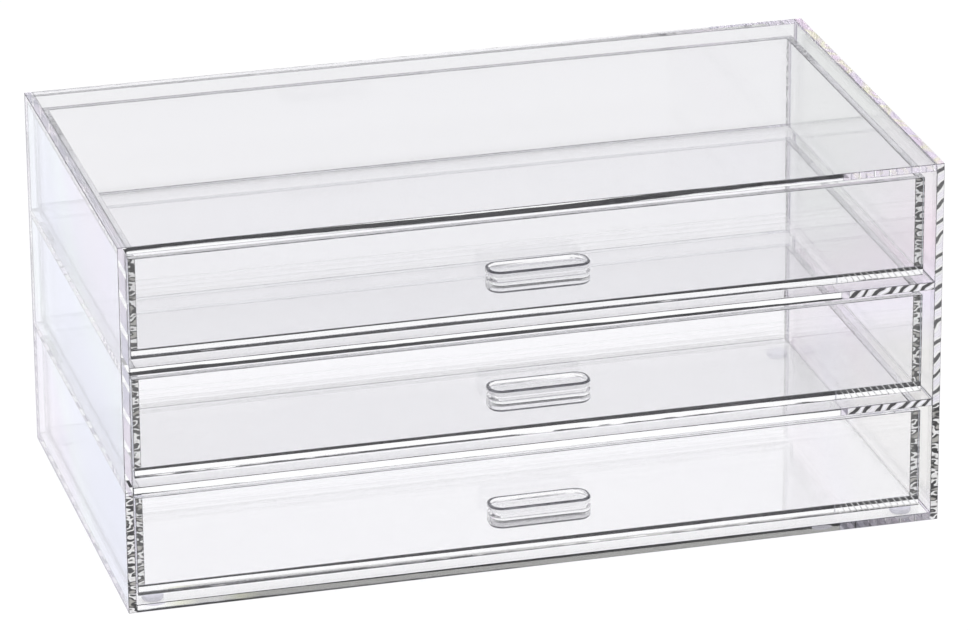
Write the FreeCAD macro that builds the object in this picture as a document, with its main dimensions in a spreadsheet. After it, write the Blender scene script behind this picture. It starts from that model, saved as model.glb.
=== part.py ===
import FreeCAD, Part
import math
import os
import Sketcher

# Clear organizer with three drawers: a case of bonded acrylic sheets on four round feet,
# and drawers of bonded sheets that slide out to the front on the shelves.
# X runs to the right, Y to the back and Z up. The origin lies on the table,
# in the middle of the footprint between the handles' front and the back of the case.

# Driving dimensions in millimetres.
sizes = {
    "caseWidth": 305.0,        # over the two sides
    "caseDepth": 169.0,        # front edge to back face
    "caseHeight": 140.0,       # underside of the bottom sheet to the top face
    "caseSheet": 3.0,          # thickness of every sheet of the case
    "drawerSheet": 3.0,        # thickness of every sheet of a drawer
    "drawerHeight": 38.0,      # underside of the floor to the rim
    "drawerRecess": 7.0,       # drawer front behind the case's front edge
    "drawerSideGap": 2.0,      # between a drawer and each side of the case
    "drawerFloorGap": 0.3,     # running gap under a drawer
    "drawerBackGap": 0.5,      # behind a closed drawer
    "handleWidth": 38.0,
    "handleDepth": 12.0,       # how far a handle stands off the drawer front
    "handleHeight": 8.2,
    "handleCorner": 5.0,       # corner radius seen from above
    "upperLip": 1.9,           # height of a handle's lip over the finger groove
    "lowerLip": 4.4,           # and of the one under it
    "gripDepth": 1.2,          # finger groove between the lips
    "lipRound": 0.5,           # eased outer edges of the lips
    "footDiameter": 8.0,
    "footHeight": 2.2,
    "frontFootInset": 11.0,    # front foot's centre to the side and the front of the case
    "rearFootInset": 13.0,     # rear foot's centre to the side and the back of the case
    "footRound": 0.8,          # eased lower edge of a foot
}
drawerNames = ["bottom_drawer", "middle_drawer", "top_drawer"]
shelfNames = ["lower_shelf", "upper_shelf"]
roughWidth, roughHeight = 100.0, 50.0  # a rectangle before its constraints size it
sameLevel = 0.01                       # heights this near to each other are one plane

doc = FreeCAD.newDocument("organizer")
sheet = doc.addObject("Spreadsheet::Sheet", "Sizes")
for row, (alias, value) in enumerate(sizes.items(), start=1):
    sheet.set(f"A{row}", alias)
    sheet.set(f"B{row}", str(value))
    sheet.setAlias(f"B{row}", alias)
doc.recompute()

# Lengths that several pieces share, as expressions over the sheet.
bayCount = len(drawerNames)
bayWidth = "(Sizes.caseWidth - 2 * Sizes.caseSheet)"
bayDepth = "(Sizes.caseDepth - Sizes.caseSheet)"
bayHeight = f"((Sizes.caseHeight - {bayCount + 1} * Sizes.caseSheet) / {bayCount})"
bayPitch = f"({bayHeight} + Sizes.caseSheet)"
drawerWidth = f"({bayWidth} - 2 * Sizes.drawerSideGap)"
drawerDepth = f"({bayDepth} - Sizes.drawerRecess - Sizes.drawerBackGap)"

# Planes that pieces are placed from.
caseLeft = "(-Sizes.caseWidth / 2)"
caseFront = "((Sizes.handleDepth - Sizes.drawerRecess - Sizes.caseDepth) / 2)"
caseBack = f"({caseFront} + Sizes.caseDepth)"
caseUnder = "Sizes.footHeight"
bayLeft = f"({caseLeft} + Sizes.caseSheet)"
drawerLeft = f"({bayLeft} + Sizes.drawerSideGap)"
drawerFront = f"({caseFront} + Sizes.drawerRecess)"

# Rotation that lays a sketch's plane across each axis, by the role of the origin plane.
planeAcross = {"X": "YZ_Plane", "Y": "XZ_Plane", "Z": "XY_Plane"}
subParts = []


def place(body, x, y, z):
    for axis, expression in zip("xyz", (x, y, z)):
        body.setExpression(f"Placement.Base.{axis}", expression)


def newBody(name):
    body = doc.addObject("PartDesign::Body", name)
    body.Label = name
    subParts.append(body)
    return body


def newSketch(body, name, role):
    sketch = body.newObject("Sketcher::SketchObject", name)
    plane = next(item for item in body.Origin.OriginFeatures if item.Role == role)
    sketch.AttachmentSupport = (plane, [""])
    sketch.MapMode = "FlatFace"
    return sketch


def newPad(body, name, sketch, length):
    pad = body.newObject("PartDesign::Pad", name)
    pad.Profile = sketch
    pad.setExpression("Length", length)
    body.Tip = pad
    return pad


def bindConstraint(sketch, constraint, name, expression):
    index = sketch.addConstraint(constraint)
    sketch.renameConstraint(index, name)
    sketch.setExpression(f"Constraints.{name}", expression)


def drawRectangle(sketch, width, height):
    """Rectangle from the sketch's origin into its first quadrant."""
    corners = [(0, 0), (roughWidth, 0), (roughWidth, roughHeight), (0, roughHeight)]
    for start, end in zip(corners, corners[1:] + corners[:1]):
        line = Part.LineSegment(FreeCAD.Vector(*start, 0), FreeCAD.Vector(*end, 0))
        sketch.addGeometry(line, False)
    for side in range(4):
        sketch.addConstraint(Sketcher.Constraint("Coincident", side, 2, (side + 1) % 4, 1))
    for side in (0, 2):
        sketch.addConstraint(Sketcher.Constraint("Horizontal", side))
    for side in (1, 3):
        sketch.addConstraint(Sketcher.Constraint("Vertical", side))
    sketch.addConstraint(Sketcher.Constraint("Coincident", 0, 1, -1, 1))
    bindConstraint(sketch, Sketcher.Constraint("DistanceX", 0, 1, 0, 2, roughWidth), "width", width)
    bindConstraint(sketch, Sketcher.Constraint("DistanceY", 1, 1, 1, 2, roughHeight), "height", height)


def makePanel(name, across, width, height, thickness, x, y, z):
    """Flat sheet whose thickness runs along the axis across, from its least corner."""
    body = newBody(name)
    sketch = newSketch(body, f"{name}_outline", planeAcross[across])
    drawRectangle(sketch, width, height)
    pad = newPad(body, f"{name}_thickness", sketch, thickness)
    pad.Reversed = across == "Y"  # the XZ plane faces the front
    place(body, x, y, z)
    return body


def makeCase():
    sides = {"left": caseLeft, "right": f"{bayLeft} + {bayWidth}"}
    for side, x in sides.items():
        makePanel(
            f"case_{side}_side", "X", "Sizes.caseDepth", "Sizes.caseHeight", "Sizes.caseSheet",
            x, caseFront, caseUnder,
        )
    topLevel = f"{caseUnder} + Sizes.caseHeight - Sizes.caseSheet"
    for name, z in (("case_bottom", caseUnder), ("case_top", topLevel)):
        makePanel(name, "Z", bayWidth, "Sizes.caseDepth", "Sizes.caseSheet", bayLeft, caseFront, z)
    innerHeight = "Sizes.caseHeight - 2 * Sizes.caseSheet"
    makePanel(
        "case_back", "Y", bayWidth, innerHeight, "Sizes.caseSheet",
        bayLeft, f"{caseFront} + {bayDepth}", f"{caseUnder} + Sizes.caseSheet",
    )
    for level, name in enumerate(shelfNames, start=1):
        z = f"{caseUnder} + {level} * {bayPitch}"
        makePanel(name, "Z", bayWidth, bayDepth, "Sizes.caseSheet", bayLeft, caseFront, z)


def roundEdges(body, name, base, radius, keep):
    """Fillet on the edges of base that keep accepts."""
    doc.recompute()
    edges = [f"Edge{n}" for n, edge in enumerate(base.Shape.Edges, start=1) if keep(edge)]
    fillet = body.newObject("PartDesign::Fillet", name)
    fillet.Base = (base, edges)
    fillet.setExpression("Radius", radius)
    body.Tip = fillet
    return fillet


def liesFlat(edge, level):
    """True where every end of the edge is at the height level."""
    return all(abs(vertex.Z - level) < sameLevel for vertex in edge.Vertexes)


def makeFeet():
    wide = sizes["footDiameter"]
    rows = {
        "front": ("Sizes.frontFootInset", f"{caseFront} + Sizes.frontFootInset"),
        "rear": ("Sizes.rearFootInset", f"{caseBack} - Sizes.rearFootInset"),
    }
    for rowName, (inset, y) in rows.items():
        columns = {"left": f"{caseLeft} + {inset}", "right": f"-{caseLeft} - {inset}"}
        for columnName, x in columns.items():
            name = f"foot_{rowName}_{columnName}"
            body = newBody(name)
            sketch = newSketch(body, f"{name}_outline", "XY_Plane")
            circle = Part.Circle(FreeCAD.Vector(0, 0, 0), FreeCAD.Vector(0, 0, 1), wide / 2)
            sketch.addGeometry(circle, False)
            sketch.addConstraint(Sketcher.Constraint("Coincident", 0, 3, -1, 1))
            bindConstraint(sketch, Sketcher.Constraint("Diameter", 0, wide), "diameter", "Sizes.footDiameter")
            pad = newPad(body, f"{name}_height", sketch, "Sizes.footHeight")
            roundEdges(body, f"{name}_round", pad, "Sizes.footRound", lambda edge: liesFlat(edge, 0.0))
            place(body, x, y, "0 mm")


def drawHandlePlan(sketch, width, depth, corner):
    """Rounded rectangle with its back on the sketch's X axis and its front towards -Y."""
    w, d, r = sizes["handleWidth"] / 2, sizes["handleDepth"], sizes["handleCorner"]
    ends = [
        ((-w + r, -d), (w - r, -d)), ((w, -d + r), (w, -r)),
        ((w - r, 0), (-w + r, 0)), ((-w, -r), (-w, -d + r)),
    ]
    for start, end in ends:
        sketch.addGeometry(Part.LineSegment(FreeCAD.Vector(*start, 0), FreeCAD.Vector(*end, 0)), False)
    centres = [(w - r, -d + r), (w - r, -r), (-w + r, -r), (-w + r, -d + r)]
    quarter = math.pi / 2
    for turn, centre in enumerate(centres, start=-1):
        circle = Part.Circle(FreeCAD.Vector(*centre, 0), FreeCAD.Vector(0, 0, 1), r)
        sketch.addGeometry(Part.ArcOfCircle(circle, turn * quarter, (turn + 1) * quarter), False)
    for side in range(4):
        arc = side + 4
        sketch.addConstraint(Sketcher.Constraint("Tangent", side, 2, arc, 1))
        sketch.addConstraint(Sketcher.Constraint("Tangent", arc, 2, (side + 1) % 4, 1))
    for arc in (5, 6, 7):
        sketch.addConstraint(Sketcher.Constraint("Equal", 4, arc))
    sketch.addConstraint(Sketcher.Constraint("Horizontal", 0))
    for side in (1, 3):
        sketch.addConstraint(Sketcher.Constraint("Vertical", side))
    sketch.addConstraint(Sketcher.Constraint("PointOnObject", 2, 1, -1))
    sketch.addConstraint(Sketcher.Constraint("Symmetric", 2, 1, 2, 2, -2))
    bindConstraint(sketch, Sketcher.Constraint("DistanceX", 3, 1, 1, 1, 2 * w), "width", width)
    bindConstraint(sketch, Sketcher.Constraint("DistanceY", 0, 1, 2, 2, d), "depth", depth)
    bindConstraint(sketch, Sketcher.Constraint("Radius", 4, r), "corner", corner)


def makeHandle(name, z):
    """Pull with an upper and a lower lip and a finger groove round the neck between them."""
    body = newBody(name)
    outer = ("Sizes.handleWidth", "Sizes.handleDepth", "Sizes.handleCorner")
    inner = (
        "Sizes.handleWidth - 2 * Sizes.gripDepth",
        "Sizes.handleDepth - Sizes.gripDepth",
        "Sizes.handleCorner - Sizes.gripDepth",
    )
    layers = [
        ("lower_lip", outer, "0 mm", "Sizes.lowerLip"),
        ("neck", inner, "Sizes.lowerLip", "Sizes.handleHeight - Sizes.lowerLip - Sizes.upperLip"),
        ("upper_lip", outer, "Sizes.handleHeight - Sizes.upperLip", "Sizes.upperLip"),
    ]
    for layer, plan, level, height in layers:
        sketch = newSketch(body, f"{name}_{layer}_plan", "XY_Plane")
        sketch.setExpression("AttachmentOffset.Base.z", level)
        drawHandlePlan(sketch, *plan)
        pad = newPad(body, f"{name}_{layer}", sketch, height)
    top = sheet.get("handleHeight")
    roundEdges(
        body, f"{name}_eased", pad, "Sizes.lipRound",
        lambda edge: liesFlat(edge, 0.0) or liesFlat(edge, top),
    )
    place(body, "0 mm", drawerFront, z)


def makeDrawer(name, level):
    """Front and back sheet at full height, with the floor and the sides on it between them."""
    under = f"({caseUnder} + Sizes.caseSheet + {level} * {bayPitch} + Sizes.drawerFloorGap)"
    behindFront = f"{drawerFront} + Sizes.drawerSheet"
    ends = {"front": drawerFront, "back": f"{drawerFront} + {drawerDepth} - Sizes.drawerSheet"}
    for end, y in ends.items():
        makePanel(
            f"{name}_{end}", "Y", drawerWidth, "Sizes.drawerHeight", "Sizes.drawerSheet",
            drawerLeft, y, under,
        )
    innerDepth = f"{drawerDepth} - 2 * Sizes.drawerSheet"
    makePanel(
        f"{name}_floor", "Z", drawerWidth, innerDepth, "Sizes.drawerSheet",
        drawerLeft, behindFront, under,
    )
    wallHeight = "Sizes.drawerHeight - Sizes.drawerSheet"
    aboveFloor = f"{under} + Sizes.drawerSheet"
    sides = {"left": drawerLeft, "right": f"{drawerLeft} + {drawerWidth} - Sizes.drawerSheet"}
    for side, x in sides.items():
        makePanel(
            f"{name}_{side}", "X", innerDepth, wallHeight, "Sizes.drawerSheet",
            x, behindFront, aboveFloor,
        )
    makeHandle(f"{name}_handle", f"{under} + (Sizes.drawerHeight - Sizes.handleHeight) / 2")


makeCase()
makeFeet()
for level, name in enumerate(drawerNames):
    makeDrawer(name, level)
doc.recompute()

for item in doc.Objects:
    faults = {"Invalid", "Error"} & set(item.State)
    if faults:
        raise RuntimeError(f"{item.Name} is {sorted(faults)}")
for body in subParts:
    if body.Shape.isNull() or not body.Shape.isValid():
        raise RuntimeError(f"{body.Label} has no valid shape")

os.makedirs("parts", exist_ok=True)
for body in subParts:
    body.Shape.exportStep(os.path.join("parts", f"{body.Label}.step"))
print(f"{len(subParts)} sub-parts written")
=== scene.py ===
import itertools
import math

import bmesh
import bpy
from mathutils import Matrix, Vector


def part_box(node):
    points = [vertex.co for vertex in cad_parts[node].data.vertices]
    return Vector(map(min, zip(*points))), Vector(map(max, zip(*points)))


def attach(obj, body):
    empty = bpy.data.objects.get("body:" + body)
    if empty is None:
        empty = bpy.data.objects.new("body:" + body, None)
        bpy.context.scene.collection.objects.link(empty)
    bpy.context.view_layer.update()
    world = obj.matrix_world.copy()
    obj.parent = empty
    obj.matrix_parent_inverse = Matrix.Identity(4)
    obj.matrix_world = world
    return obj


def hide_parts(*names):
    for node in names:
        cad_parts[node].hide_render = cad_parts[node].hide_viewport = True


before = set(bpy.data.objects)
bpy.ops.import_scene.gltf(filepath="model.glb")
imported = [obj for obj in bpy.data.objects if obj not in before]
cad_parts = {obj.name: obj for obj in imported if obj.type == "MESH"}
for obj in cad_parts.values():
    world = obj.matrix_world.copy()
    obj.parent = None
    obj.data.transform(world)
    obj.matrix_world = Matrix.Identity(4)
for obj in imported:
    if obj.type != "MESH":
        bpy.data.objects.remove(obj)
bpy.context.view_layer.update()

mm = 0.001               # the frame is in metres
scene = bpy.context.scene
print("frame loaded")


def newMaterial(name):
    material = bpy.data.materials.new(name)
    material.use_nodes = True
    return material, material.node_tree


def addNode(tree, kind, **settings):
    node = tree.nodes.new(kind)
    for key, value in settings.items():
        setattr(node, key, value)
    return node


def addPlace(tree, stretch=(1, 1, 1), slant=0):
    # the piece's own coordinates, stretched along some axes and turned about Y
    place = addNode(tree, "ShaderNodeTexCoord").outputs["Object"]
    mapping = addNode(tree, "ShaderNodeMapping")
    mapping.inputs["Scale"].default_value = stretch
    mapping.inputs["Rotation"].default_value = (0, math.radians(slant), 0)
    tree.links.new(place, mapping.inputs["Vector"])
    return mapping.outputs["Vector"]


def addNoise(tree, place, scale, detail=0):
    noise = addNode(tree, "ShaderNodeTexNoise")
    noise.inputs["Scale"].default_value = scale
    noise.inputs["Detail"].default_value = detail
    tree.links.new(place, noise.inputs["Vector"])
    return noise.outputs["Fac"]


def addRamp(tree, factor, stops):
    ramp = addNode(tree, "ShaderNodeValToRGB")
    elements = ramp.color_ramp.elements
    while len(elements) < len(stops):
        elements.new(0.5)
    for element, (position, colour) in zip(elements, stops):
        element.position = position
        element.color = (*colour, 1)
    tree.links.new(factor, ramp.inputs["Fac"])
    return ramp.outputs["Color"]


def addRange(tree, value, source=(0, 1), target=(0, 1)):
    # carries source over to target in a straight line and holds the ends
    node = addNode(tree, "ShaderNodeMapRange")
    for name, number in zip(("From Min", "From Max", "To Min", "To Max"), (*source, *target)):
        node.inputs[name].default_value = number
    tree.links.new(value, node.inputs["Value"])
    return node.outputs["Result"]


def addMix(tree, factor, first, second):
    # first and second: a plain colour or another node's output
    mix = addNode(tree, "ShaderNodeMix", data_type="RGBA")
    sockets = {socket.name: socket for socket in mix.inputs if socket.enabled}
    tree.links.new(factor, sockets["Factor"])
    for name, colour in (("A", first), ("B", second)):
        if isinstance(colour, tuple):
            sockets[name].default_value = (*colour, 1)
        else:
            tree.links.new(colour, sockets[name])
    return next(socket for socket in mix.outputs if socket.enabled)


def addBump(tree, height, distance, strength=1.0, before=None):
    bump = addNode(tree, "ShaderNodeBump")
    bump.inputs["Strength"].default_value = strength
    bump.inputs["Distance"].default_value = distance
    tree.links.new(height, bump.inputs["Height"])
    if before is not None:
        tree.links.new(before, bump.inputs["Normal"])
    return bump.outputs["Normal"]


acrylic = {
    "refraction": 1.49,
    "lampShare": (0.985, 0.985, 0.99),   # light that each face passes on to what lies behind
}
clearStops = [(0.3, (0.994, 0.993, 0.998)), (0.7, (0.998, 0.997, 1.0))]
edgeStops = [(0.35, (0.955, 0.958, 0.972)), (0.65, (0.975, 0.975, 0.985))]
finishes = {
    # stops: the tint along the slow noise
    # waves: the slow noise's scale and height in metres
    # grain: the fine noise's scale, height in metres and most roughness
    # clearShare: below 1 for faces partly matt, so that their painted shade and tints show
    # along: the two places on X between which the tint goes from its first stop to its last
    "sheetClear": {
        "stops": clearStops,
        "waves": (9, 0.00003), "grain": (60, 0.000003, 0.01),
    },
    # the grey of the top and of the top drawer's front is painted shade that darkens what is seen through
    # them
    "topClear": {
        "stops": [(0.3, (0.953, 0.952, 0.96)), (0.7, (0.965, 0.963, 0.97))],
        "waves": (9, 0.00015), "grain": (60, 0.000003, 0.01),
    },
    "frontClear": {
        "stops": [(0.3, (0.905, 0.905, 0.915)), (0.7, (0.92, 0.92, 0.93))],
        "waves": (9, 0.00003), "grain": (60, 0.000003, 0.01),
    },
    # the sides' lilac, blue, mint and rose tints are painted reflection colours, their darker stops painted
    # shade
    "leftClear": {
        "stops": [
            (0.30, (0.82, 0.84, 0.95)), (0.42, (0.85, 0.90, 0.935)), (0.52, (0.85, 0.83, 0.945)),
            (0.64, (0.88, 0.845, 0.93)), (0.74, (0.83, 0.85, 0.95)),
        ],
        "waves": (8, 0.00015), "grain": (60, 0.000003, 0.01),
    },
    "rightClear": {
        "stops": [
            (0.32, (0.83, 0.85, 0.82)), (0.42, (0.845, 0.82, 0.845)), (0.50, (0.87, 0.76, 0.84)),
            (0.60, (0.81, 0.765, 0.88)), (0.72, (0.85, 0.84, 0.825)),
        ],
        "waves": (9, 0.00015), "grain": (60, 0.000003, 0.01),
    },
    "sheetEdge": {
        "stops": edgeStops,
        "waves": (25, 0.00012), "grain": (160, 0.00001, 0.02),
    },
    "topEdge": {
        "stops": edgeStops,
        "waves": (8, 0.006), "grain": (160, 0.00001, 0.01),
    },
    # the lilac, rose and yellow bands on the edges of the case's sides are painted reflection colours,
    # their greys painted shade
    "lilacEdge": {
        "stops": [(0.40, (0.55, 0.54, 0.64)), (0.60, (0.72, 0.66, 0.75))],
        "waves": (25, 0.00012), "grain": (160, 0.00001, 0.02), "clearShare": 0.55,
    },
    "roseEdge": {
        "stops": [(0.38, (0.86, 0.76, 0.90)), (0.50, (0.95, 0.93, 0.62)), (0.62, (0.88, 0.72, 0.86))],
        "waves": (90, 0.0001), "grain": (260, 0.00002, 0.05), "clearShare": 0.7,
    },
    "paleEdge": {
        "stops": [(0.38, (0.70, 0.70, 0.73)), (0.50, (0.93, 0.88, 0.92)), (0.62, (0.84, 0.84, 0.87))],
        "waves": (60, 0.0001), "grain": (260, 0.00002, 0.05), "clearShare": 0.75,
    },
    # painted shade on the bottom's front edge: clear near its left end, darkening over 16 mm and staying
    # dark to the right
    "paintedShadeEdge": {
        "stops": [(0.0, (0.975, 0.975, 0.985)), (0.5, (0.62, 0.63, 0.45)), (1.0, (0.33, 0.33, 0.32))],
        "waves": (25, 0.00012), "grain": (160, 0.00001, 0.03), "along": (-0.120, -0.104),
    },
    # rim: painted shade along the back and the foot of the case's sides
    "rim": {
        "stops": [(0.40, (0.26, 0.25, 0.31)), (0.60, (0.40, 0.37, 0.46))],
        "waves": (25, 0.00001), "grain": (160, 0.00001, 0.1), "clearShare": 0.3,
    },
    # arris: painted shade on the eased edges, and the dark cement line where two sheets lie flush
    "arris": {
        "stops": [(0.3, (0.03, 0.03, 0.035)), (0.7, (0.22, 0.22, 0.24))],
        "waves": (90, 0.00001), "grain": (200, 0.000001, 0.05),
    },
    "pullClear": {
        "stops": clearStops,
        "waves": (60, 0.00001), "grain": (200, 0.000001, 0.01),
    },
    # painted shade for the dark lines along the pulls' edges and round their tops
    "pullShadeLine": {
        "stops": [(0.3, (0.02, 0.02, 0.025)), (0.7, (0.07, 0.07, 0.08))],
        "waves": (150, 0.00001), "grain": (300, 0.000001, 0.05),
    },
}
marked = {
    # saw marks on the ends of a drawer's sides and at the foot of the case's sides, with painted shade in
    # their near-black bands
    "sawMarksAndShade": {
        "scale": 420, "stretch": (0.5, 0.2, 1), "slant": 35, "clearShare": 0.22,
        "roughness": (0.2, 0.5), "depth": 0.0001,
        "stops": [
            (0.36, (0.42, 0.41, 0.38)), (0.42, (0.02, 0.02, 0.02)), (0.49, (0.03, 0.03, 0.03)),
            (0.515, (0.95, 0.95, 0.94)), (0.60, (0.75, 0.74, 0.72)), (0.63, (0.05, 0.05, 0.05)),
        ],
    },
    # slanted bars at the right-hand end of the shelves' front edges, their dark bars painted shade
    "hatchAcross": {
        "scale": 95, "distortion": 3.2, "slant": -45, "clearShare": 0.35,
        "roughness": (0.15, 0.3), "depth": 0.00005,
        "stops": [
            (0.22, (0.03, 0.03, 0.03)), (0.34, (0.10, 0.10, 0.10)),
            (0.42, (0.96, 0.96, 0.94)), (0.9, (0.90, 0.89, 0.92)),
        ],
    },
    # and up the front edge of the right side, again with painted shade in the dark bars
    "hatchUpright": {
        "scale": 62, "distortion": 3.0, "slant": -50, "clearShare": 0.35,
        "roughness": (0.15, 0.3), "depth": 0.00005,
        "stops": [
            (0.07, (0.07, 0.07, 0.07)), (0.16, (0.30, 0.30, 0.29)),
            (0.22, (0.93, 0.94, 0.90)), (0.9, (0.86, 0.84, 0.90)),
        ],
    },
}


def letLampsThrough(tree, shader):
    # clear plastic throws hardly any shadow, so rays from lamps and from the floor pass it straight
    through = addNode(tree, "ShaderNodeBsdfTransparent")
    through.inputs["Color"].default_value = (*acrylic["lampShare"], 1)
    path = addNode(tree, "ShaderNodeLightPath")
    for ray in ("Is Shadow Ray", "Is Diffuse Ray"):
        mix = addNode(tree, "ShaderNodeMixShader")
        tree.links.new(path.outputs[ray], mix.inputs["Fac"])
        tree.links.new(shader, mix.inputs[1])
        tree.links.new(through.outputs["BSDF"], mix.inputs[2])
        shader = mix.outputs["Shader"]
    tree.links.new(shader, tree.nodes["Material Output"].inputs["Surface"])


def newAcrylic(name, clearShare):
    material, tree = newMaterial(name)
    shader = tree.nodes["Principled BSDF"]
    shader.inputs["Transmission Weight"].default_value = clearShare
    shader.inputs["IOR"].default_value = acrylic["refraction"]
    letLampsThrough(tree, shader.outputs["BSDF"])
    return material, tree, shader


def makeAcrylic(name, stops, waves, grain, along=None, clearShare=1.0):
    material, tree, shader = newAcrylic(name, clearShare)
    place = addPlace(tree)
    slow = addNoise(tree, place, waves[0])
    fine = addNoise(tree, place, grain[0])
    shade = slow
    if along:
        axes = addNode(tree, "ShaderNodeSeparateXYZ")
        tree.links.new(place, axes.inputs["Vector"])
        shade = addRange(tree, axes.outputs["X"], source=along)
    tree.links.new(addRamp(tree, shade, stops), shader.inputs["Base Color"])
    tree.links.new(addRange(tree, fine, target=(0, grain[2])), shader.inputs["Roughness"])
    normal = addBump(tree, slow, waves[1])
    normal = addBump(tree, fine, grain[1], before=normal)
    tree.links.new(normal, shader.inputs["Normal"])
    return material


def addBars(tree, place, scale, distortion):
    bars = addNode(tree, "ShaderNodeTexWave")
    settings = {"Scale": scale, "Distortion": distortion, "Detail": 1, "Detail Scale": 2}
    for name, value in settings.items():
        bars.inputs[name].default_value = value
    tree.links.new(place, bars.inputs["Vector"])
    return bars.outputs["Fac"]


def makeMarked(name, scale, slant, clearShare, roughness, depth, stops, stretch=(1, 1, 1), distortion=None):
    # bars where there is a distortion, otherwise grain
    material, tree, shader = newAcrylic(name, clearShare)
    place = addPlace(tree, stretch, slant)
    if distortion:
        marks = addBars(tree, place, scale, distortion)
    else:
        marks = addNoise(tree, place, scale, detail=1)
    tree.links.new(addRamp(tree, marks, stops), shader.inputs["Base Color"])
    tree.links.new(addRange(tree, marks, target=roughness), shader.inputs["Roughness"])
    tree.links.new(addBump(tree, marks, depth), shader.inputs["Normal"])
    return material


materials = {name: makeAcrylic(name, **finish) for name, finish in finishes.items()}
materials.update({name: makeMarked(name, **finish) for name, finish in marked.items()})
print("materials ready")

sheetFinish = {
    "edgeRound": 0.22 * mm,    # eased edges and the fillet of cement in the corners
    "roundSteps": 2,
    "easeFrom": 30,            # degrees: edges that turn by more are eased
    "flatAngle": 0.01,         # radians: faces that turn by less become one
    "samePlane": 0.01 * mm,    # planes closer than this count as one
    "film": 0.03 * mm,         # air left round a drawer's sides, which are only tacked in place
    "seam": 0.3 * mm,          # width of the cement line where two sheets of the case lie flush
    "rimBack": 2.2 * mm,       # painted shade as a dark rim on the case's sides, at the back and underneath
    "rimUnder": 1.4 * mm,
    "hatchFrom": 117 * mm,     # the place on X where the bars on the shelves' front edges begin
    "innerLine": 0.5 * mm,     # painted shade as a dark line along the top of a drawer's right wall
}
tinted = {
    # sheets whose large faces have a painted tint: reflection colours and some shade on the sides, painted
    # shade on the top and the top drawer's front
    "case_left_side": "leftClear",
    "case_right_side": "rightClear",
    "case_top": "topClear",
    "top_drawer_front": "frontClear",
}
castOff = {
    # cast sheet is never quite its nominal thickness: how much higher its under side and its top lie
    "case_top": (0.20 * mm, 0),
    "lower_shelf": (0, -0.16 * mm),
    "case_bottom": (0, 0.02 * mm),
    "top_drawer_floor": (0, -0.135 * mm),
    "middle_drawer_floor": (0, 0.05 * mm),
    "bottom_drawer_floor": (0, 0.185 * mm),
}
caseSides = ("case_left_side", "case_right_side")
drawerSides = ("drawer_left", "drawer_right")


def sheetBox(node):
    low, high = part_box(node)
    under, over = castOff.get(node, (0, 0))
    low.z += under
    high.z += over
    if node == "case_back":
        low.z = sheetBox("case_bottom")[1].z
        high.z = sheetBox("case_top")[0].z
    if node.endswith(drawerSides):
        floor = node.rsplit("_", 1)[0] + "_floor"
        low.z = sheetBox(floor)[1].z + sheetFinish["film"]
        low.y += sheetFinish["film"]
        high.y -= sheetFinish["film"]
    return low, high


def planesAlong(nodes, axis):
    # where the sheets begin and end along one axis, and where their faces change
    values = [corner[axis] for node in nodes for corner in sheetBox(node)]
    if "case_top" in nodes:
        low, high = sheetBox("case_top" if axis == 0 else "case_left_side")
        seam = sheetFinish["seam"]
        changes = [
            [low.x + seam, sheetFinish["hatchFrom"], high.x - seam],
            [high.y - sheetFinish["rimBack"]],
            [low.z + sheetFinish["rimUnder"]],
        ]
        values += changes[axis]
    if axis == 0 and nodes[0].endswith("drawer_right"):
        values.append(min(values) + sheetFinish["innerLine"])
    planes = []
    for value in sorted(values):
        if not planes or value - planes[-1] > sheetFinish["samePlane"]:
            planes.append(value)
    return planes


def thinAxis(node):
    low, high = sheetBox(node)
    return min(range(3), key=lambda axis: high[axis] - low[axis])


def ownerOf(nodes, point):
    # the sheet that holds this point, or None in the air
    for node in nodes:
        low, high = sheetBox(node)
        if all(low[axis] < point[axis] < high[axis] for axis in range(3)):
            return node
    return None


def sideKind(owner, axis, side, place):
    # the material of one face of the case's left or right side
    low, high = sheetBox(owner)
    isLeft = owner == "case_left_side"
    if axis == 0:
        atRim = place[1] > high.y - sheetFinish["rimBack"] or place[2] < low.z + sheetFinish["rimUnder"]
        return "rim" if atRim else tinted[owner]
    if (axis, side) == (2, 1):
        return "paleEdge" if isLeft else "roseEdge"
    if (axis, side) != (1, 0):
        return "lilacEdge"
    if place[2] < sheetBox("lower_shelf")[0].z:
        return "sawMarksAndShade"
    return "sheetEdge" if isLeft else "hatchUpright"


def faceKind(owner, axis, side, place):
    # the material of one face, by its sheet, the way it looks (side 1 up the axis, side 0 down it)
    # and the middle of its cell
    if owner in caseSides:
        return sideKind(owner, axis, side, place)
    if axis == thinAxis(owner):
        return tinted.get(owner, "sheetClear")
    if owner.endswith(drawerSides):
        if axis == 1:
            return "sawMarksAndShade"
        if side == 1:
            # painted shade: the right wall's top has a line on its inner side, as dark as the pull's
            inner = place[0] < sheetBox(owner)[0].x + sheetFinish["innerLine"]
            return "pullShadeLine" if inner and owner.endswith("right") else "sheetClear"
    inFront = (axis, side) == (1, 0)
    if owner.endswith("shelf") and inFront and place[0] > sheetFinish["hatchFrom"]:
        return "hatchAcross"
    # the bottom's front edge carries painted shade
    if owner == "case_bottom":
        return "paintedShadeEdge"
    return "topEdge" if owner == "case_top" and inFront else "sheetEdge"


def moved(cell, axis, step):
    # the cell that lies some steps along one axis
    other = list(cell)
    other[axis] += step
    return tuple(other)


def onSeam(owners, planes, cell, axis, side):
    # whether this face is a narrow strip beside another sheet that lies flush with it
    for across in range(3):
        width = planes[across][cell[across] + 1] - planes[across][cell[across]]
        if across == axis or width > sheetFinish["seam"] + sheetFinish["samePlane"]:
            continue
        for step in (-1, 1):
            other = moved(cell, across, step)
            outside = moved(other, axis, 2 * side - 1)
            if owners.get(other, owners[cell]) != owners[cell] and outside not in owners:
                return True
    return False


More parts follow.
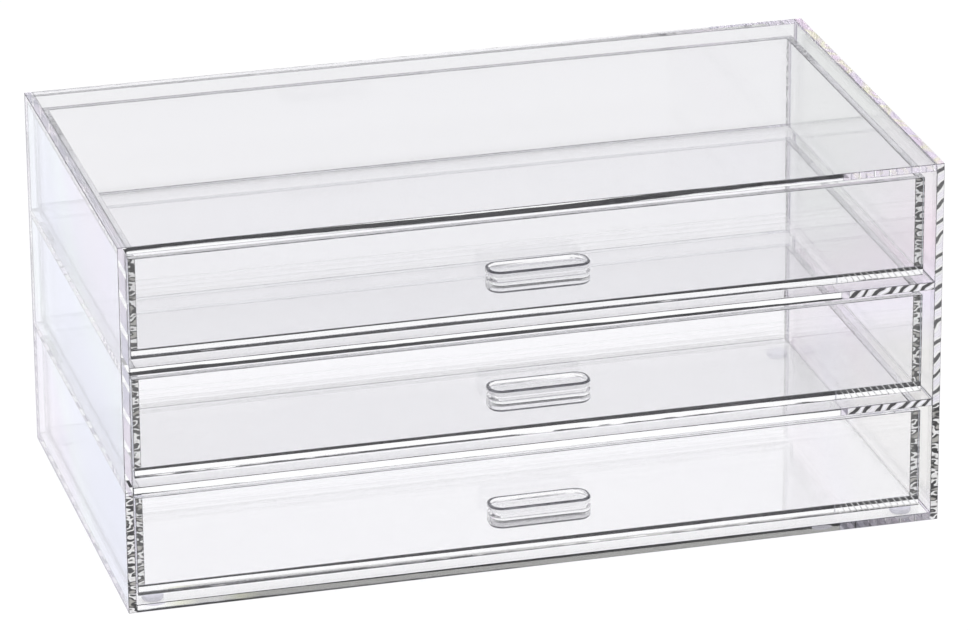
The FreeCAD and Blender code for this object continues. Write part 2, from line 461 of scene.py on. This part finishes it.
def fillCells(nodes, planes):
    # the sheet in each cell between the planes, and the cell's middle
    owners = {}
    centres = {}
    for cell in itertools.product(*(range(len(along) - 1) for along in planes)):
        centre = [(along[n] + along[n + 1]) / 2 for along, n in zip(planes, cell)]
        owner = ownerOf(nodes, centre)
        if owner:
            owners[cell] = owner
            centres[cell] = centre
    return owners, centres


def addPiece(name, shape, kinds):
    mesh = bpy.data.meshes.new(name)
    shape.to_mesh(mesh)
    shape.free()
    for kind in kinds:
        mesh.materials.append(materials[kind])
    piece = bpy.data.objects.new(name, mesh)
    scene.collection.objects.link(piece)
    return piece


def bondSheets(name, nodes):
    # one closed skin round sheets that meet face to face
    planes = [planesAlong(nodes, axis) for axis in range(3)]
    owners, centres = fillCells(nodes, planes)
    shape = bmesh.new()
    corners = {}
    kinds = ["arris"]

    def cornerAt(index):
        if index not in corners:
            corners[index] = shape.verts.new([along[n] for along, n in zip(planes, index)])
        return corners[index]

    for cell, axis, side in itertools.product(owners, range(3), (0, 1)):
        if moved(cell, axis, 2 * side - 1) in owners:
            continue
        u, v = (axis + 1) % 3, (axis + 2) % 3
        loop = [(0, 0), (1, 0), (1, 1), (0, 1)]
        if side == 0:
            loop.reverse()
        base = moved(cell, axis, side)
        face = shape.faces.new([cornerAt(moved(moved(base, u, du), v, dv)) for du, dv in loop])
        isSeam = onSeam(owners, planes, cell, axis, side)
        kind = "arris" if isSeam else faceKind(owners[cell], axis, side, centres[cell])
        if kind not in kinds:
            kinds.append(kind)
        face.material_index = kinds.index(kind)
        face.smooth = True
    bmesh.ops.dissolve_limit(
        shape, angle_limit=sheetFinish["flatAngle"],
        verts=shape.verts[:], edges=shape.edges[:], delimit={"MATERIAL"},
    )
    piece = addPiece(name, shape, kinds)
    bevel = piece.modifiers.new("easedEdges", "BEVEL")
    bevel.width = sheetFinish["edgeRound"]
    bevel.segments = sheetFinish["roundSteps"]
    bevel.limit_method = "ANGLE"
    bevel.angle_limit = math.radians(sheetFinish["easeFrom"])
    bevel.harden_normals = True
    # the eased edges take the arris finish, whose dark colour is painted shade
    bevel.material = kinds.index("arris")
    return piece


caseSheets = [
    "case_left_side", "case_right_side", "case_back", "case_top",
    "case_bottom", "upper_shelf", "lower_shelf",
]
caseShell = bondSheets("case_shell", caseSheets)
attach(caseShell, "case")
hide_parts(*caseSheets)
print("case bonded")

drawers = ("top_drawer", "middle_drawer", "bottom_drawer")
for drawer in drawers:
    pieces = {
        "tray": [f"{drawer}_{part}" for part in ("front", "back", "floor")],
        "left_wall": [f"{drawer}_left"],
        "right_wall": [f"{drawer}_right"],
    }
    for part, sheets in pieces.items():
        piece = bondSheets(f"{drawer}_{part}", sheets)
        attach(piece, drawer)
        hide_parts(*sheets)
print("drawers bonded")

pull = {
    "corner": 5.0 * mm,        # seen from above, less the inset but never below the least
    "leastCorner": 0.2 * mm,
    "cornerSteps": 12,
    "backGap": 0.02 * mm,      # film of air behind the pull, where the cement is
    "easing": 0.65 * mm,       # rounding of the upper edge and of the lower one
    "lowerEasing": 1.05 * mm,
    "easeSteps": 6,
    "upperLip": 1.9 * mm,
    "lowerLip": 4.4 * mm,
    "gripDepth": 1.25 * mm,    # hollow at the two ends, between the lips
    "gripFront": 0.1,          # share of that depth along the front
    "gripSteps": 14,
    "rimInset": 1.05 * mm,     # painted shade as a dark rim on the upper face
    "rimFront": 0.9,           # shares of that inset along the front and along the back
    "rimBack": 1.5,
}


def easedEdge(radius):
    # the profile of the lower edge's rounding
    turns = [math.pi / 2 * n / pull["easeSteps"] for n in range(pull["easeSteps"] + 1)]
    return [(radius - radius * math.cos(turn), radius - radius * math.sin(turn), 1, 1) for turn in turns]


def pullProfile(height):
    # (height above the under side, inset, its share at the front, its share at the back)
    hollow = height - pull["upperLip"] - pull["lowerLip"]
    grip = []
    for n in range(pull["gripSteps"] + 1):
        share = n / pull["gripSteps"]
        depth = pull["gripDepth"] * math.sin(math.pi * share) ** 2
        grip.append((pull["lowerLip"] + hollow * share, depth, pull["gripFront"], 0))
    upper = [(height - level, *rest) for level, *rest in reversed(easedEdge(pull["easing"]))]
    rim = (height, pull["rimInset"], pull["rimFront"], pull["rimBack"])
    return [*easedEdge(pull["lowerEasing"]), *grip, *upper, rim]


def pullOutline(low, high, inset, frontShare, backShare):
    # rounded rectangle seen from above, its back straight on the drawer front
    radius = max(pull["corner"] - inset, pull["leastCorner"])
    left, right = low.x + inset, high.x - inset
    front, back = low.y + inset * frontShare, high.y - pull["backGap"] - inset * backShare
    points = []
    centres = [
        (right - radius, front + radius, -90), (right - radius, back - radius, 0),
        (left + radius, back - radius, 90), (left + radius, front + radius, 180),
    ]
    for x, y, start in centres:
        for n in range(pull["cornerSteps"] + 1):
            turn = math.radians(start + 90 * n / pull["cornerSteps"])
            points.append((x + radius * math.cos(turn), y + radius * math.sin(turn)))
    return points


def makePull(name, node):
    low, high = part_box(node)
    shape = bmesh.new()
    rings = []
    for level, inset, frontShare, backShare in pullProfile(high.z - low.z):
        outline = pullOutline(low, high, inset, frontShare, backShare)
        rings.append([shape.verts.new((x, y, low.z + level)) for x, y in outline])
    # the steps of the profile: lower rounding, lower lip, hollow, upper lip, upper rounding and rim
    lowerLip = pull["easeSteps"]
    hollowFrom = lowerLip + 1
    upperLip = hollowFrom + pull["gripSteps"]
    for step in range(len(rings) - 1):
        lower, upper = rings[step], rings[step + 1]
        for n in range(len(lower)):
            m = (n + 1) % len(lower)
            face = shape.faces.new([lower[n], lower[m], upper[m], upper[n]])
            face.smooth = step < len(rings) - 2
            inFront = face.calc_center_median().y < (low.y + high.y) / 2
            # the front of the lower rounding, a thin line at the foot of the hollow, the upper rounding and
            # the rim take painted shade
            onShadeLine = inFront and (step < lowerLip or step == hollowFrom)
            face.material_index = 1 if onShadeLine or step > upperLip else 0
    shape.faces.new(list(reversed(rings[0])))
    shape.faces.new(rings[-1])
    bmesh.ops.recalc_face_normals(shape, faces=shape.faces[:])
    return addPiece(name, shape, ["pullClear", "pullShadeLine"])


for drawer in drawers:
    node = f"{drawer}_handle"
    piece = makePull(f"{drawer}_pull", node)
    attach(piece, drawer)
    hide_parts(node)
print("pulls made")

foot = {
    "stops": [(0.35, (0.58, 0.57, 0.62)), (0.65, (0.66, 0.65, 0.70))],
    "roughness": (0.3, 0.5),
    "colourGrain": (400, 3),   # scale and detail of each noise
    "roughGrain": (900, 3),
    "bumpGrain": (1500, 2),
    "bump": (0.04 * mm, 0.3),  # depth and strength
    "topSink": 0.02 * mm,      # stuck flat to the clear sheet, so that no air is left between them
    "steps": 40,
    "edge": 0.8 * mm,          # rounding of the lower edge
    "edgeSteps": 6,
    "dome": 0.25 * mm,         # bulge of the under side
    "domeSteps": 4,
}


def makeFootMaterial(name):
    material, tree = newMaterial(name)
    shader = tree.nodes["Principled BSDF"]
    place = addPlace(tree)
    colour = addRamp(tree, addNoise(tree, place, *foot["colourGrain"]), foot["stops"])
    rough = addRange(tree, addNoise(tree, place, *foot["roughGrain"]), target=foot["roughness"])
    normal = addBump(tree, addNoise(tree, place, *foot["bumpGrain"]), *foot["bump"])
    tree.links.new(colour, shader.inputs["Base Color"])
    tree.links.new(rough, shader.inputs["Roughness"])
    tree.links.new(normal, shader.inputs["Normal"])
    return material


def footProfile(low, high):
    # (reach from the axis, height) from the middle of the top round to the middle of the under side
    radius = (high.x - low.x) / 2
    top = high.z + foot["topSink"]
    profile = [(0, top), (radius, top)]
    for n in range(foot["edgeSteps"] + 1):
        turn = math.pi / 2 * n / foot["edgeSteps"]
        inset = foot["edge"] * (1 - math.cos(turn))
        profile.append((radius - inset, low.z + foot["dome"] + foot["edge"] * (1 - math.sin(turn))))
    for n in range(1, foot["domeSteps"] + 1):
        rest = 1 - n / foot["domeSteps"]
        profile.append(((radius - foot["edge"]) * rest, low.z + foot["dome"] * rest ** 2))
    return profile


def makeFoot(name, node):
    low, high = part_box(node)
    centre = (low + high) / 2
    turns = [2 * math.pi * n / foot["steps"] for n in range(foot["steps"])]
    shape = bmesh.new()
    rings = []
    for reach, level in footProfile(low, high):
        places = [
            (centre.x + reach * math.cos(turn), centre.y + reach * math.sin(turn), level)
            for turn in (turns if reach else turns[:1])
        ]
        rings.append([shape.verts.new(place) for place in places])
    for upper, lower in zip(rings, rings[1:]):
        for n in range(foot["steps"]):
            m = (n + 1) % foot["steps"]
            if len(upper) == 1:
                corners = [upper[0], lower[n], lower[m]]
            elif len(lower) == 1:
                corners = [upper[n], lower[0], upper[m]]
            else:
                corners = [upper[n], lower[n], lower[m], upper[m]]
            shape.faces.new(corners).smooth = len(upper) > 1
    bmesh.ops.recalc_face_normals(shape, faces=shape.faces[:])
    return addPiece(name, shape, ["softFoot"])


materials["softFoot"] = makeFootMaterial("softFoot")
for row in ("front", "rear"):
    for column in ("left", "right"):
        node = f"foot_{row}_{column}"
        piece = makeFoot(f"{node}_pad", node)
        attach(piece, "case")
        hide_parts(node)
print("feet made")

stage = {
    # lengths in metres, power in watts
    "floorSize": 12.0,
    "floorColour": (0.9, 0.9, 0.9),
    "glow": 0.72,              # share of plain white that the eye and clear plastic see of the floor
    "lampPower": 14.0,
    "lampPlace": (0.0, 0.0, 1.6),
    "lampSize": (1.2, 1.0),
}


def addSeenShare(tree, path):
    # 1 for rays from the eye, off gloss and through clear plastic, 0 for the rest
    seen = path.outputs["Is Camera Ray"]
    for ray in ("Is Glossy Ray", "Is Transmission Ray"):
        add = addNode(tree, "ShaderNodeMath", operation="ADD", use_clamp=True)
        tree.links.new(seen, add.inputs[0])
        tree.links.new(path.outputs[ray], add.inputs[1])
        seen = add.outputs["Value"]
    return seen


def makeFloor():
    half = stage["floorSize"] / 2
    corners = [(-half, -half, 0), (half, -half, 0), (half, half, 0), (-half, half, 0)]
    mesh = bpy.data.meshes.new("floor")
    mesh.from_pydata(corners, [], [(0, 1, 2, 3)])
    floor = bpy.data.objects.new("floor", mesh)
    scene.collection.objects.link(floor)
    material, tree = newMaterial("paleFloor")
    tree.nodes.remove(tree.nodes["Principled BSDF"])
    matt = addNode(tree, "ShaderNodeBsdfDiffuse")
    matt.inputs["Color"].default_value = (*stage["floorColour"], 1)
    glow = addNode(tree, "ShaderNodeEmission")
    glow.inputs["Strength"].default_value = 1.0
    seen = addSeenShare(tree, addNode(tree, "ShaderNodeLightPath"))
    share = addNode(tree, "ShaderNodeMath", operation="MULTIPLY")
    share.inputs[1].default_value = stage["glow"]
    tree.links.new(seen, share.inputs[0])
    mix = addNode(tree, "ShaderNodeMixShader")
    tree.links.new(share.outputs["Value"], mix.inputs["Fac"])
    tree.links.new(matt.outputs["BSDF"], mix.inputs[1])
    tree.links.new(glow.outputs["Emission"], mix.inputs[2])
    tree.links.new(mix.outputs["Shader"], tree.nodes["Material Output"].inputs["Surface"])
    mesh.materials.append(material)


room = {
    # what gloss and clear plastic see: white up to the horizon, then the walls, then a dark ceiling
    # heights are those of a ray's direction, 0 for level and 1 for straight up
    "horizon": (0.12, 0.24),
    "cornice": (0.50, 0.62),
    "ceiling": (0.10, 0.10, 0.12),
    # the wall's colour by how often the light has turned, so that long edges pick up a dark side
    "turns": 40,
    "wall": [
        (1, (0.35, 0.35, 0.38)), (4, (0.88, 0.88, 0.91)), (7, (0.95, 0.95, 0.97)),
        (15, (0.93, 0.93, 0.955)), (17, (0.015, 0.015, 0.02)),
        (27, (0.015, 0.015, 0.02)), (30, (0.93, 0.93, 0.955)),
    ],
    "fill": (0.85, 0.85, 0.86),    # what matt faces get from the room
    "white": (1.0, 1.0, 1.0),
}


def makeRoom():
    world = bpy.data.worlds.new("room")
    scene.world = world
    world.use_nodes = True
    tree = world.node_tree
    axes = addNode(tree, "ShaderNodeSeparateXYZ")
    tree.links.new(addNode(tree, "ShaderNodeTexCoord").outputs["Generated"], axes.inputs["Vector"])
    height = axes.outputs["Z"]
    path = addNode(tree, "ShaderNodeLightPath")
    seen = addSeenShare(tree, path)
    turns = addRange(tree, path.outputs["Ray Depth"], source=(0, room["turns"]))
    wall = addRamp(tree, turns, [(count / room["turns"], colour) for count, colour in room["wall"]])
    colour = addMix(tree, addRange(tree, height, source=room["horizon"]), room["white"], wall)
    colour = addMix(tree, addRange(tree, height, source=room["cornice"]), colour, room["ceiling"])
    colour = addMix(tree, seen, room["fill"], colour)
    colour = addMix(tree, path.outputs["Is Camera Ray"], colour, room["white"])
    tree.links.new(colour, tree.nodes["Background"].inputs["Color"])


def makeLamp():
    lamp = bpy.data.lights.new("softLamp", "AREA")
    lamp.shape = "RECTANGLE"
    lamp.size, lamp.size_y = stage["lampSize"]
    lamp.energy = stage["lampPower"]
    holder = bpy.data.objects.new("softLamp", lamp)
    scene.collection.objects.link(holder)
    holder.location = stage["lampPlace"]
    # the lamp only lights, so that sheets seen from above don't mirror it
    holder.visible_glossy = False
    holder.visible_transmission = False


makeFloor()
makeRoom()
makeLamp()
print("stage set")

view = {
    # angles in degrees, lens and sensor in millimetres, the rest in metres
    "azimuth": -14.9161,
    "elevation": 21.6564,
    "roll": -0.4893,
    "distance": 2.16797,
    "target": (-0.019836, -0.082, 0.10243),
    "lens": 225.633,
    "sensor": 36.0,
    "farthest": 50.0,
}


def makeCamera():
    camera = bpy.data.cameras.new("camera")
    camera.lens = view["lens"]
    camera.sensor_width = view["sensor"]
    camera.clip_end = view["farthest"]
    azimuth, elevation, roll = (math.radians(view[key]) for key in ("azimuth", "elevation", "roll"))
    reach = math.cos(elevation)
    back = Vector((math.sin(azimuth) * reach, -math.cos(azimuth) * reach, math.sin(elevation)))
    right = (-back).cross(Vector((0, 0, 1))).normalized()
    up = right.cross(-back)
    across = math.cos(roll) * right + math.sin(roll) * up
    upright = math.cos(roll) * up - math.sin(roll) * right
    turn = Matrix((across, upright, back)).transposed().to_4x4()
    turn.translation = Vector(view["target"]) + back * view["distance"]
    holder = bpy.data.objects.new("camera", camera)
    scene.collection.objects.link(holder)
    holder.matrix_world = turn
    scene.camera = holder


makeCamera()
print("camera set")

light = {
    "bounces": 128,            # long edges carry light through very many turns
    "clearFaces": 32,          # faces that a straight ray may pass
}
scene.view_settings.view_transform = "Standard"
scene.cycles.max_bounces = light["bounces"]
scene.cycles.transmission_bounces = light["bounces"]
scene.cycles.glossy_bounces = light["bounces"]
scene.cycles.transparent_max_bounces = light["clearFaces"]
scene.cycles.caustics_refractive = False
scene.cycles.caustics_reflective = False
print("light paths set")
